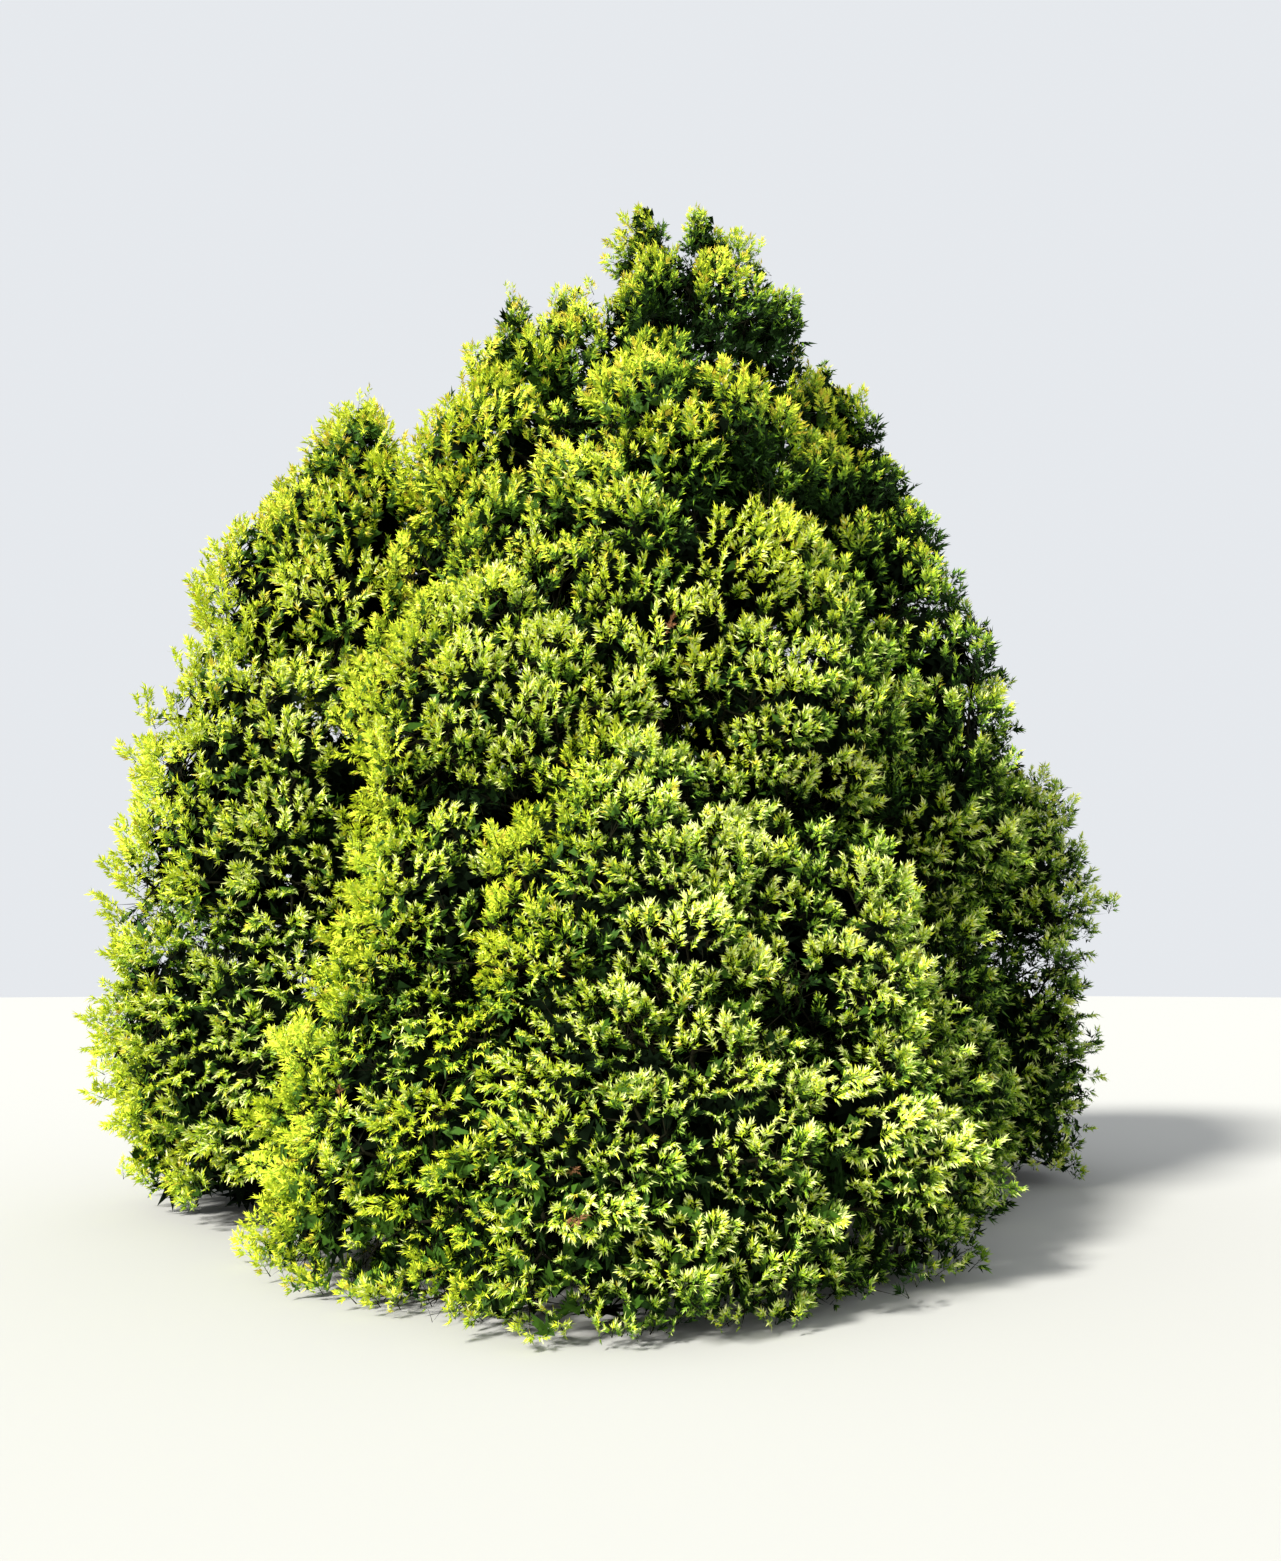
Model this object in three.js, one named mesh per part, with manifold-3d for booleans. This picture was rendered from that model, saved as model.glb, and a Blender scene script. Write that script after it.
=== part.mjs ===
// A golden cedar with the dense, many-lobed habit of an arborvitae, foliage down to the ground.
// Millimetres, +Z up. The origin is the middle of the flat cut under the trunk, at ground level.
// -Y is the side that faces the viewer. One trunk runs up through the crown, boughs leave it low
// down inside a bare hollow, and each lobe of the crown is a stack of separate foliage masses.
import * as THREE from "three";
import { mergeVertices } from "three/addons/utils/BufferGeometryUtils.js";
import Module from "manifold-3d";

const wasm = await Module();
wasm.setup();

const mix = THREE.MathUtils.lerp;

// Driving dimensions of the trunk
const TREE_HEIGHT = 6990;
const TRUNK_TOP = 6450;
const TRUNK_RADIUS = 165;
const TRUNK_TIP_RADIUS = 12;
const TRUNK_TAPER = 0.85;
const TRUNK_LEAN = [110, -60];
const TRUNK_SWAY = [70, -42];
const TRUNK_SIDES = 12;
const TRUNK_RINGS = 12;
const FLARE_REACH = 150;
const FLARE_HEIGHT = 190;
const FLARE_ROOTS = 4;
const FLARE_DEPTH = 0.3;
const FLARE_TURN = 0.6;
const FOOT_CROWDING = 1.7;

// Driving dimensions of the boughs
const BOUGH_SIDES = 8;
const BOUGH_RINGS = 8;
const BOUGH_TIP_SHARE = 0.35;
const BOUGH_ELBOW = 0.55;
const BOUGH_RISE = 0.32;

// The hollow round the foot of the trunk, where the shaded foliage has died away
const HOLLOW_CENTRE = [-100, 150];
const HOLLOW_RADIUS = [1750, 1550];
const HOLLOW_HEIGHT = 1150;
const HOLLOW_SIDES = 14;
const HOLLOW_RINGS = 4;
const HOLLOW_BULGE = 0.8;
const BELOW_GROUND = 50;

// Shape of every lobe: full below, drawn in at the foot, and domed towards its tip.
// The blunter a lobe's tip, the smaller its taper.
const USUAL_TAPER = 0.5;
const USUAL_DRAWN_IN = 0.17;
const LOBE_ROUNDNESS = 1.15;
const RING_STEP = 680;
const SEGMENT_LENGTH = 900;
const LEAST_SEGMENTS = 8;
const LEAST_OUT = 0.3;
const SCALLOP = 0.05;
const UNEVENNESS = 85;
const BUMP_LENGTH = 270;
const DOME_SHOULDER = 0.6;
const SHOULDER_RISE = 0.7;
const CAP_DOME = 0.3;
const SKIRT_HOLLOW = 0.03;
const SKIRT_TOP = 300;
const BREAK_WAVE = 130;
const BREAK_WAVE_LENGTH = 420;
const WAVE_FADE = 520;

// Neighbours keep this gap, so that no two solids share any space
const GAP = 0.6;
const LEAST_FACING = 0.2;

const BARK = { color: 0x6b5443, roughness: 0.9, metalness: 0 };
const FOLIAGE = { color: 0x8fae1e, roughness: 0.7, metalness: 0 };

// Each lobe: the middle of its foot, its tip, its widest radius along X and Y, the height of that,
// the height of its lowest foliage, and the heights where one mass ends and the next begins.
// A taper or a foot drawn in other than the usual is stated.
const LOBES = [
  {
    name: "top_left",
    foot: [20, 40],
    tip: [40, 0, TREE_HEIGHT],
    radius: [600, 560],
    widest: 5500,
    base: 4500,
    breaks: [5650],
    taper: 0.6,
  },
  {
    name: "top_right",
    foot: [480, 60],
    tip: [400, 30, TREE_HEIGHT - 10],
    radius: [430, 460],
    widest: 6000,
    base: 5650,
    breaks: [],
    taper: 0.52,
  },
  {
    name: "top_shoulder",
    foot: [760, 40],
    tip: [850, 40, 6540],
    radius: [430, 500],
    widest: 6020,
    base: 5650,
    breaks: [],
    taper: 0.42,
  },
  {
    name: "top_step",
    foot: [-350, 0],
    tip: [-520, -60, 6440],
    radius: [520, 500],
    widest: 5600,
    base: 5200,
    breaks: [],
  },
  {
    name: "upper_left",
    foot: [-820, -100],
    tip: [-820, -250, 6200],
    radius: [900, 900],
    widest: 4550,
    base: 3700,
    breaks: [5350],
    taper: 0.55,
  },
  {
    name: "left",
    foot: [-2150, 500],
    tip: [-1980, 300, 5620],
    radius: [1540, 1500],
    widest: 1000,
    base: 110,
    breaks: [1850, 3650],
    taper: 0.47,
    drawnIn: 0.22,
  },
  {
    name: "right_upper",
    foot: [1480, 900],
    tip: [1400, 700, 6150],
    radius: [1300, 1250],
    widest: 2700,
    base: 2000,
    breaks: [4200],
    taper: 0.57,
  },
  {
    name: "right_lower",
    foot: [2540, 1800],
    tip: [2850, 1950, 3560],
    radius: [960, 1050],
    widest: 1300,
    base: 130,
    breaks: [1800],
    taper: 0.42,
  },
  {
    name: "right_middle",
    foot: [1580, 350],
    tip: [1600, 400, 3300],
    radius: [900, 950],
    widest: 900,
    base: 100,
    breaks: [1700],
  },
  {
    name: "front_low_right",
    foot: [830, -1200],
    tip: [850, -1100, 2700],
    radius: [1030, 1250],
    widest: 600,
    base: 70,
    breaks: [1400],
    drawnIn: 0.12,
  },
  {
    name: "front_low_left",
    foot: [-900, -1300],
    tip: [-850, -1100, 2950],
    radius: [1150, 1250],
    widest: 700,
    base: 60,
    breaks: [1500],
    drawnIn: 0.04,
  },
  {
    name: "front_low_middle",
    foot: [-100, -1550],
    tip: [-60, -1300, 2980],
    radius: [1500, 1560],
    widest: 500,
    base: 50,
    breaks: [1450],
    drawnIn: 0.04,
  },
  {
    name: "front_high_middle",
    foot: [0, -800],
    tip: [50, -600, 5000],
    radius: [1000, 900],
    widest: 3800,
    base: 3250,
    breaks: [],
  },
  {
    name: "front_high_right",
    foot: [600, -550],
    tip: [650, -500, 4850],
    radius: [1080, 1050],
    widest: 3000,
    base: 2500,
    breaks: [3800],
    drawnIn: 0.1,
  },
  {
    name: "front_high_left",
    foot: [-750, -700],
    tip: [-600, -600, 5200],
    radius: [1180, 1150],
    widest: 2900,
    base: 2400,
    breaks: [3900],
    drawnIn: 0.1,
  },
  {
    name: "front_crown",
    foot: [150, -350],
    tip: [100, -350, 5800],
    radius: [1050, 950],
    widest: 4400,
    base: 4000,
    breaks: [],
  },
  {
    name: "back_left",
    foot: [-1200, 1600],
    tip: [-850, 1100, 5600],
    radius: [1650, 1600],
    widest: 1200,
    base: 110,
    breaks: [2600],
  },
  {
    name: "back_right",
    foot: [950, 1900],
    tip: [600, 1100, 5850],
    radius: [1650, 1500],
    widest: 1200,
    base: 110,
    breaks: [2600],
  },
];
const TIER_NAMES = ["skirt", "middle", "crown"];

// Each bough leaves the trunk at a height, and rises towards the lobe that it carries.
const BOUGHS = [
  { name: "left_bough", lobe: "left", leaves: 420, enters: 1500, radius: 88 },
  { name: "front_left_bough", lobe: "front_low_left", leaves: 610, enters: 1400, radius: 64 },
  { name: "front_bough", lobe: "front_low_middle", leaves: 380, enters: 1300, radius: 76 },
  { name: "front_right_bough", lobe: "front_low_right", leaves: 740, enters: 1400, radius: 62 },
  { name: "right_middle_bough", lobe: "right_middle", leaves: 520, enters: 1400, radius: 62 },
  { name: "right_lower_bough", lobe: "right_lower", leaves: 860, enters: 1900, radius: 70 },
  { name: "back_right_bough", lobe: "back_right", leaves: 460, enters: 1500, radius: 84 },
  { name: "back_left_bough", lobe: "back_left", leaves: 680, enters: 1500, radius: 80 },
];

// A closed three.js geometry with its corners merged and its collapsed faces left out
function closed(geometry) {
  const bare = new THREE.BufferGeometry();
  bare.setAttribute("position", geometry.getAttribute("position"));
  bare.setIndex(geometry.index);
  const merged = mergeVertices(bare, 1e-2);
  const corners = merged.index.array;
  const kept = [];
  for (let i = 0; i < corners.length; i += 3) {
    const [a, b, c] = [corners[i], corners[i + 1], corners[i + 2]];
    if (a !== b && b !== c && c !== a) kept.push(a, b, c);
  }
  merged.setIndex(kept);
  return merged;
}

// The same geometry with every face moved out by at least an amount
function grown(geometry, amount) {
  const wider = geometry.clone();
  const place = wider.getAttribute("position");
  const corners = wider.index.array;
  const around = Array.from({ length: place.count }, () => []);
  const face = new THREE.Triangle();
  for (let i = 0; i < corners.length; i += 3) {
    const trio = [corners[i], corners[i + 1], corners[i + 2]];
    face.setFromAttributeAndIndices(place, ...trio);
    const normal = face.getNormal(new THREE.Vector3());
    for (const corner of trio) around[corner].push(normal);
  }
  around.forEach((normals, corner) => {
    const way = new THREE.Vector3();
    for (const normal of normals) way.add(normal);
    way.normalize();
    const least = Math.min(...normals.map((normal) => normal.dot(way)));
    const at = new THREE.Vector3().fromBufferAttribute(place, corner);
    at.addScaledVector(way, amount / Math.max(LEAST_FACING, least));
    place.setXYZ(corner, at.x, at.y, at.z);
  });
  return wider;
}

function solid(geometry) {
  return new wasm.Manifold(
    new wasm.Mesh({
      numProp: 3,
      vertProperties: new Float32Array(geometry.getAttribute("position").array),
      triVerts: new Uint32Array(geometry.index.array),
    }),
  );
}

// The largest body of a solid, without the slivers that a cut can leave
function mainBody(shape) {
  const bodies = shape.decompose();
  return bodies.reduce((best, body) => (body.volume() > best.volume() ? body : best));
}

function meshOf(shape, name, look) {
  const { numProp, numVert, vertProperties, triVerts } = shape.getMesh();
  const place = new Float32Array(numVert * 3);
  for (let i = 0; i < numVert; i += 1) {
    place.set(vertProperties.subarray(i * numProp, i * numProp + 3), i * 3);
  }
  const geometry = new THREE.BufferGeometry();
  geometry.setAttribute("position", new THREE.BufferAttribute(place, 3));
  geometry.setIndex(new THREE.BufferAttribute(triVerts, 1));
  geometry.computeVertexNormals();
  const mesh = new THREE.Mesh(geometry, new THREE.MeshStandardMaterial(look));
  mesh.name = name;
  return mesh;
}

// A smooth bump pattern between -1 and 1 that runs on across neighbouring masses
function bumps(x, y, z) {
  const [a, b, c] = [x / BUMP_LENGTH, y / BUMP_LENGTH, z / BUMP_LENGTH];
  const broad = Math.sin(a + 1.3 * Math.sin(0.7 * b + c)) * Math.cos(0.9 * b - 0.8 * c);
  const fine = Math.sin(1.9 * a - 1.4 * c + 2) * Math.sin(2.1 * b + 1.2 * c + 1);
  return 0.65 * broad + 0.35 * fine;
}

// Middle of the trunk at a height, as it leans and sways
function trunkMiddle(z) {
  const share = z / TRUNK_TOP;
  const sway = Math.sin(share * Math.PI * 2);
  return [0, 1].map((axis) => TRUNK_LEAN[axis] * share + TRUNK_SWAY[axis] * sway);
}

function trunkRadius(z, angle) {
  const stem = TRUNK_RADIUS * (1 - z / TRUNK_TOP) ** TRUNK_TAPER + TRUNK_TIP_RADIUS;
  const roots = 1 + FLARE_DEPTH * Math.cos(FLARE_ROOTS * angle + FLARE_TURN);
  return stem + FLARE_REACH * roots * Math.exp(-z / FLARE_HEIGHT);
}

// A closed cylinder whose corners are put in place by share along it, angle and share outwards
function bentCylinder(sides, rings, placeOf) {
  const geometry = closed(new THREE.CylinderGeometry(1, 1, 1, sides, rings));
  const place = geometry.getAttribute("position");
  for (let i = 0; i < place.count; i += 1) {
    const [x, y, z] = [place.getX(i), place.getY(i), place.getZ(i)];
    const at = placeOf(y + 0.5, Math.atan2(z, x), Math.min(1, Math.hypot(x, z)));
    place.setXYZ(i, at.x, at.y, at.z);
  }
  return geometry;
}

// Turned inside out faces are turned back, so that every solid faces outwards
function facingOut(geometry) {
  if (solid(geometry).volume() > 0) return geometry;
  const corners = geometry.index.array;
  for (let i = 0; i < corners.length; i += 3) {
    [corners[i], corners[i + 1]] = [corners[i + 1], corners[i]];
  }
  return geometry;
}

// The trunk: rings crowd towards the root flare, and its foot is one flat cut at ground level
function trunkGeometry() {
  return facingOut(
    bentCylinder(TRUNK_SIDES, TRUNK_RINGS, (along, angle, out) => {
      const z = TRUNK_TOP * along ** FOOT_CROWDING;
      const [x, y] = trunkMiddle(z);
      const r = trunkRadius(z, angle) * out;
      return new THREE.Vector3(x + r * Math.cos(angle), y + r * Math.sin(angle), z);
    }),
  );
}

function lobeMiddle(lobe, z) {
  const share = (z - lobe.base) / (lobe.tip[2] - lobe.base);
  return [mix(lobe.foot[0], lobe.tip[0], share), mix(lobe.foot[1], lobe.tip[1], share)];
}

// Share of a lobe's widest radius at a height
function lobeShare(lobe, z) {
  if (z < lobe.widest) {
    const below = (lobe.widest - z) / (lobe.widest - lobe.base);
    return 1 - (lobe.drawnIn ?? USUAL_DRAWN_IN) * below ** 2;
  }
  const above = Math.min(1, (z - lobe.widest) / (lobe.tip[2] - lobe.widest));
  return (1 - above ** LOBE_ROUNDNESS) ** (lobe.taper ?? USUAL_TAPER);
}

// The outline of one tier of a lobe, from the axis below to the axis above, as share and height.
// A skirt is arched underneath, and any other tier sits on the dome of the tier below.
function tierProfile(lobe, low, high) {
  const width = (lobe.radius[0] + lobe.radius[1]) / 2;
  const bottom = lobeShare(lobe, low);
  const under = (low < SKIRT_TOP ? SKIRT_HOLLOW : -CAP_DOME) * width * bottom;
  const profile = [
    new THREE.Vector2(0, low + under),
    new THREE.Vector2(bottom * DOME_SHOULDER, low + under * SHOULDER_RISE),
  ];
  const rings = Math.max(2, Math.ceil((high - low) / RING_STEP));
  for (let i = 0; i <= rings; i += 1) {
    const along = i / rings;
    const z = mix(low, high, along);
    const drawnIn = 1 - SCALLOP * (2 * along - 1) ** 4;
    profile.push(new THREE.Vector2(lobeShare(lobe, z) * drawnIn, z));
  }
  const top = lobeShare(lobe, high);
  if (top === 0) return profile;
  const over = CAP_DOME * width * top;
  profile.push(new THREE.Vector2(top * DOME_SHOULDER, high + over * SHOULDER_RISE));
  profile.push(new THREE.Vector2(0, high + over));
  return profile;
}

// Breaks between tiers wander up and down, and keep still at the foot and the tip of the lobe.
function breakWave(lobe, x, y, z) {
  const fromEnd = Math.min(z - lobe.base, lobe.tip[2] - z);
  const fade = THREE.MathUtils.clamp(fromEnd / WAVE_FADE, 0, 1);
  const [a, b] = [x / BREAK_WAVE_LENGTH, y / BREAK_WAVE_LENGTH];
  return BREAK_WAVE * fade * Math.sin(a + 0.8 * b) * Math.cos(1.1 * b - 0.5 * a);
}

// One foliage mass: the tier's outline turned about the lobe's axis, then made uneven
function massGeometry(lobe, low, high) {
  const around = 2 * Math.PI * Math.max(...lobe.radius);
  const segments = Math.max(LEAST_SEGMENTS, Math.round(around / SEGMENT_LENGTH));
  const turned = new THREE.LatheGeometry(tierProfile(lobe, low, high), segments);
  turned.rotateX(Math.PI / 2);
  const geometry = closed(turned);
  const place = geometry.getAttribute("position");
  for (let i = 0; i < place.count; i += 1) {
    const z = place.getZ(i);
    const [middleX, middleY] = lobeMiddle(lobe, z);
    const [outX, outY] = [place.getX(i), place.getY(i)];
    const x = middleX + outX * lobe.radius[0];
    const y = middleY + outY * lobe.radius[1];
    const push = (UNEVENNESS * bumps(x, y, z)) / Math.max(Math.hypot(outX, outY), LEAST_OUT);
    place.setXYZ(i, x + outX * push, y + outY * push, z + breakWave(lobe, x, y, z));
  }
  return facingOut(geometry);
}

// A domed hollow, open to the ground, that is cut out of every mass
function hollowGeometry() {
  const profile = [new THREE.Vector2(0, -BELOW_GROUND), new THREE.Vector2(1, -BELOW_GROUND)];
  for (let i = 1; i <= HOLLOW_RINGS; i += 1) {
    const angle = (i / HOLLOW_RINGS) * (Math.PI / 2);
    const reach = Math.cos(angle) ** HOLLOW_BULGE;
    profile.push(new THREE.Vector2(reach, HOLLOW_HEIGHT * Math.sin(angle)));
  }
  profile[profile.length - 1].x = 0;
  const turned = new THREE.LatheGeometry(profile, HOLLOW_SIDES);
  turned.rotateX(Math.PI / 2);
  const geometry = closed(turned);
  geometry.scale(HOLLOW_RADIUS[0], HOLLOW_RADIUS[1], 1);
  geometry.translate(HOLLOW_CENTRE[0], HOLLOW_CENTRE[1], 0);
  return facingOut(geometry);
}

// A bough: one tapering limb that leaves the trunk low and bends up into its lobe
function boughGeometry(bough) {
  const lobe = LOBES.find((one) => one.name === bough.lobe);
  const [fromX, fromY] = trunkMiddle(bough.leaves);
  const [toX, toY] = lobeMiddle(lobe, bough.enters);
  const from = new THREE.Vector3(fromX, fromY, bough.leaves);
  const to = new THREE.Vector3(toX, toY, bough.enters);
  const elbow = new THREE.Vector3(
    mix(fromX, toX, BOUGH_ELBOW),
    mix(fromY, toY, BOUGH_ELBOW),
    mix(bough.leaves, bough.enters, BOUGH_RISE),
  );
  const path = new THREE.QuadraticBezierCurve3(from, elbow, to);
  const frames = path.computeFrenetFrames(BOUGH_RINGS, false);
  return facingOut(
    bentCylinder(BOUGH_SIDES, BOUGH_RINGS, (along, angle, out) => {
      const ring = Math.round(along * BOUGH_RINGS);
      const r = bough.radius * mix(1, BOUGH_TIP_SHARE, along) * out;
      return path
        .getPoint(along)
        .addScaledVector(frames.normals[ring], r * Math.cos(angle))
        .addScaledVector(frames.binormals[ring], r * Math.sin(angle));
    }),
  );
}

// Masses are listed from the outside in, and each is cut back by the ones before it.
function masses(trunkRoom, hollow) {
  const made = [];
  let taken = trunkRoom.add(hollow);
  for (const lobe of LOBES) {
    const levels = [lobe.base, ...lobe.breaks, lobe.tip[2]];
    const names = lobe.breaks.length === 1 ? ["lower", "crown"] : TIER_NAMES;
    for (let tier = levels.length - 2; tier >= 0; tier -= 1) {
      const geometry = massGeometry(lobe, levels[tier], levels[tier + 1]);
      const name = lobe.breaks.length ? `${lobe.name}_${names[tier]}` : lobe.name;
      const shape = mainBody(solid(geometry).subtract(taken));
      taken = taken.add(solid(grown(geometry, GAP)));
      made.push({ name, shape });
    }
  }
  return made;
}

// Boughs start at the bark of the trunk, and end where they enter a mass at the hollow's edge.
function boughs(trunkRoom, hollowRoom) {
  let taken = trunkRoom;
  const made = [];
  for (const bough of BOUGHS) {
    const geometry = boughGeometry(bough);
    const shape = mainBody(solid(geometry).intersect(hollowRoom).subtract(taken));
    taken = taken.add(solid(grown(geometry, GAP)));
    made.push({ name: bough.name, shape });
  }
  return made;
}

function buildTree() {
  const tree = new THREE.Group();
  const trunk = trunkGeometry();
  const trunkRoom = solid(grown(trunk, GAP));
  tree.add(meshOf(solid(trunk), "trunk", BARK));
  const hollow = hollowGeometry();
  for (const { name, shape } of boughs(trunkRoom, solid(grown(hollow, -GAP)))) {
    tree.add(meshOf(shape, name, BARK));
  }
  for (const { name, shape } of masses(trunkRoom, solid(hollow))) {
    tree.add(meshOf(shape, name, FOLIAGE));
  }
  return tree;
}

export default buildTree();
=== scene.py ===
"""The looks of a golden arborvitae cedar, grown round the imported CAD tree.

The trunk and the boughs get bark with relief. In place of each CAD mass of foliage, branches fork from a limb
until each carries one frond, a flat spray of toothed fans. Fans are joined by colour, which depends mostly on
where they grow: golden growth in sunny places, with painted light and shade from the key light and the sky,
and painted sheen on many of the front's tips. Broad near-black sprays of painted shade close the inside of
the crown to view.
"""
import math

import bpy
import numpy as np
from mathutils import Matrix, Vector, noise
from mathutils.bvhtree import BVHTree
from mathutils.kdtree import KDTree

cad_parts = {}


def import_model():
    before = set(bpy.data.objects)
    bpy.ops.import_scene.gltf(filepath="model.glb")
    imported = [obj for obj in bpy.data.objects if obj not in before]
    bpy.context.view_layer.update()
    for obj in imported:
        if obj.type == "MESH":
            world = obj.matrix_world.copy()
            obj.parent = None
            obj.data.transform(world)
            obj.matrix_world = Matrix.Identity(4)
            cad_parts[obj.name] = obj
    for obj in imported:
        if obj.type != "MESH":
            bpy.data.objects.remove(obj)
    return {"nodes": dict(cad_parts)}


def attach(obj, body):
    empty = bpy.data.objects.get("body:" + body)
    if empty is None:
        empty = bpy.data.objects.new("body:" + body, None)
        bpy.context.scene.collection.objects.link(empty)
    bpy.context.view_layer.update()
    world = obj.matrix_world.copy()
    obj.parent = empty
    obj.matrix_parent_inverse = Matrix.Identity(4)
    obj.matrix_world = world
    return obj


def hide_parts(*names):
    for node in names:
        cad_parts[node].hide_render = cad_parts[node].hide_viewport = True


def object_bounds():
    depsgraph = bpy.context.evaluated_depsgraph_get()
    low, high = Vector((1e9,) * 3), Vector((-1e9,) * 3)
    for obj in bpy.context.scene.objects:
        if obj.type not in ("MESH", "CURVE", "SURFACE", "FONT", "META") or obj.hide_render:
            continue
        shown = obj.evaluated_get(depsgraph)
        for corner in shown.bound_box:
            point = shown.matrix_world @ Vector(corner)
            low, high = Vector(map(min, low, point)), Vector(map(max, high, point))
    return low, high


SEED = 4711
BODY = "root"
UP = np.array([0.0, 0.0, 1.0])
LEVEL = np.array([1.0, 1.0, 0.0])
LEANING = UP + np.array([0.31, 0.17, 0.0])
SIZE_VARIETY = (0.85, 1.15)
WELD_DIGITS = 4

# The camera stands where the photo was taken from, in metres.
IMAGE_WIDTH_PX = 1281
IMAGE_HEIGHT_PX = 1561
FOCAL_PX = 1281
SENSOR_MM = 36.0
CAMERA_PLACE = (0.0, -8.4, 1.5)
CAMERA_PITCH_DEG = 8.63

# Floor and light
FLOOR_RADIUS = 90.0
FLOOR_SIDES = 96
SURROUND_COLOUR = (0.93, 0.96, 1.0)
SURROUND_STRENGTH = 0.85
KEY_SIDE = (-0.55, -0.55, 0.63)
KEY_STRENGTH = 7.2
KEY_COLOUR = (1.0, 0.98, 0.93)
KEY_ANGLE_DEG = 10

# Where fronds grow on a mass
SAMPLES_PER_M2 = 2000
FROND_SPACING = 0.095
SPACING_BY_DISTANCE = ((5.8, 8.4), (0.067, 0.098))
SPACING_BY_HEIGHT = ((5.2, 6.2), (1.0, 0.8))
ROUNDING = 0.6
SMOOTH_WITHIN = 0.5
JUST_OUTSIDE = 0.004
COVERED_WITHIN = 0.13
HOLLOW_CENTRE = (-0.1, 0.15)
HOLLOW_RADIUS = (1.9, 1.7)
HOLLOW_TOP = 1.25
UNDERSIDE = -0.5
UNDERSIDE_TOP = 0.6

# How open a frond's place is
LOOKS_OUT = 12
LOOKS_TO_KEY = 4
LOOK_START = 0.05
LOOK_DISTANCE = 1.6
KEY_DISTANCE = 3.2
LOOK_SPREAD = 0.55
LOOK_LIFT = 0.5
KEY_SPREAD = 0.25

# Clumps of fronds, in metres: domes with seams between them, broad below and tall above; domes get sunnier
# colours and seams darker ones, as painted light and shade
CLUMP_SPACING = (0.31, 0.44)
CLUMPS_KEPT = 0.7
CLUMP_RELIEF = (0.23, 0.28)
CLUMP_VARIETY = 0.2
CLUMP_FAN = 0.8
CLUMP_TILT = 0.3
CLUMP_SHADE = (0.6, 0.74)
SEAM_SIZE = ((-0.5, 0.8), (0.1, 1.0))
CLUMP_FLATTENING = ((2.2, 1.85), (4.2, 0.85))
CLUMP_HEIGHTS = np.linspace(0, 8, 81)

# Fronds, in metres
FROND_DEPTH = 0.11
FROND_PUSH = 0.02
FROND_SHIFT = -0.055
AXIS_NOISE = 0.15
FACING_OUT = 0.7
SIZE_POWER = 0.8
LOWEST_BASE = 0.03

# Where the outline moves out or in to follow the photo: x, z, reach and amount
SWELLS = (
    (0.98, 5.58, 0.2, 0.3), (0.31, 6.47, 0.1, 0.1), (0.67, 6.33, 0.1, 0.1),
    (-1.4, 5.45, 0.24, -0.24), (-1.1, 5.95, 0.24, -0.24), (-0.5, 6.25, 0.16, -0.1),
    (0.95, 6.5, 0.2, -0.16), (1.6, 5.4, 0.15, -0.1), (-3.55, 0.75, 0.5, -0.1),
    (3.5, 1.3, 0.45, -0.14),
)
STRONG_SWELL = -0.15
CARRIED_SHARE = 0.4

# Fans along a frond, and how a frond stands
FROND_LENGTH = 0.115
FANS = 12
FAN_ENDS = (0.6, 0.4)
FAN_ANGLE_NOISE_DEG = 9
FAN_STRAY = 0.15
FAN_ANGLE_DEG = (58, 26)
FAN_OFFSET = (0.026, 0.01)
FAN_LENGTH = (0.062, 0.07)
FAN_NOISE = 0.32
HIDDEN_SKY = 0.14
FANS_IF_HIDDEN = 3
DROOP_BELOW = 3.3
DROOP_RANGE = 2.0
LIFT = (1.3, 0.35)
FACING_UP = (0.45, 0.85)
FACING_NOISE = 0.45
LOWEST_LEAF = 0.012
HIGH = (2.6, 5.2)
FOOT = (0.12, 0.45)

# Fans of pointed teeth, in shares of their length
TOOTH_LENGTH = 0.5
TOOTH_HALF_WIDTH = 0.1
TOOTH_PLACE = (0.08, 0.46)
TOOTH_ANGLE = (1.05, 0.95)
TOOTH_TURN_DEG = (-8, 8)
STEM_BACK = 0.4
STEM_FRONT = 0.6
STEM_HALF_WIDTH = 0.02
TWIST_DEG = 34
TILT_DEG = 22
TEETH = 5

# Classes each tooth and the stem is darker than its fan, and each kind of fan's spread and curl
TOOTH_STEPS = (1, 0, 1, 0, -1, 2)
FAN_KINDS = ((42, -0.35), (50, -0.2), (38, 0.15), (54, -0.45), (46, 0.3), (40, -0.25), (48, 0.0))

# Layers of broad dark fans under the fronds, their dark green partly inner foliage and partly painted shade:
# depth, size, spacing, and if on thin parts only
UNDER_LAYERS = ((0.075, 0.115, 0.11, False), (0.1, 0.13, 0.085, True), (0.16, 0.155, 0.1, True))
UNDER_HALF_WIDTH = 0.16
UNDER_REACH = 0.03
UNDER_FOLLOW = 0.3
UNDER_STRAY = 0.8
UNDER_FLATTENING = 0.8
UNDER_NOISE = 0.35
UNDER_PUSH = 0.8
UNDER_BACK = 0.4
UNDER_VARIETY = (0.8, 1.2)
DEPTH_VARIETY = (-0.02, 0.02)
THIN_ABOVE = 4.3
THIN_BELOW = 0.75
UNDER_SCORE = -0.38
UNDER_BAND = 4

# A broad spray's fingers
SPRAY_ANGLES_DEG = (-150, -95, -45, 0, 45, 95, 150)
FINGER_LENGTH = 0.55
FINGER_HALF_WIDTH = 0.15
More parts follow.
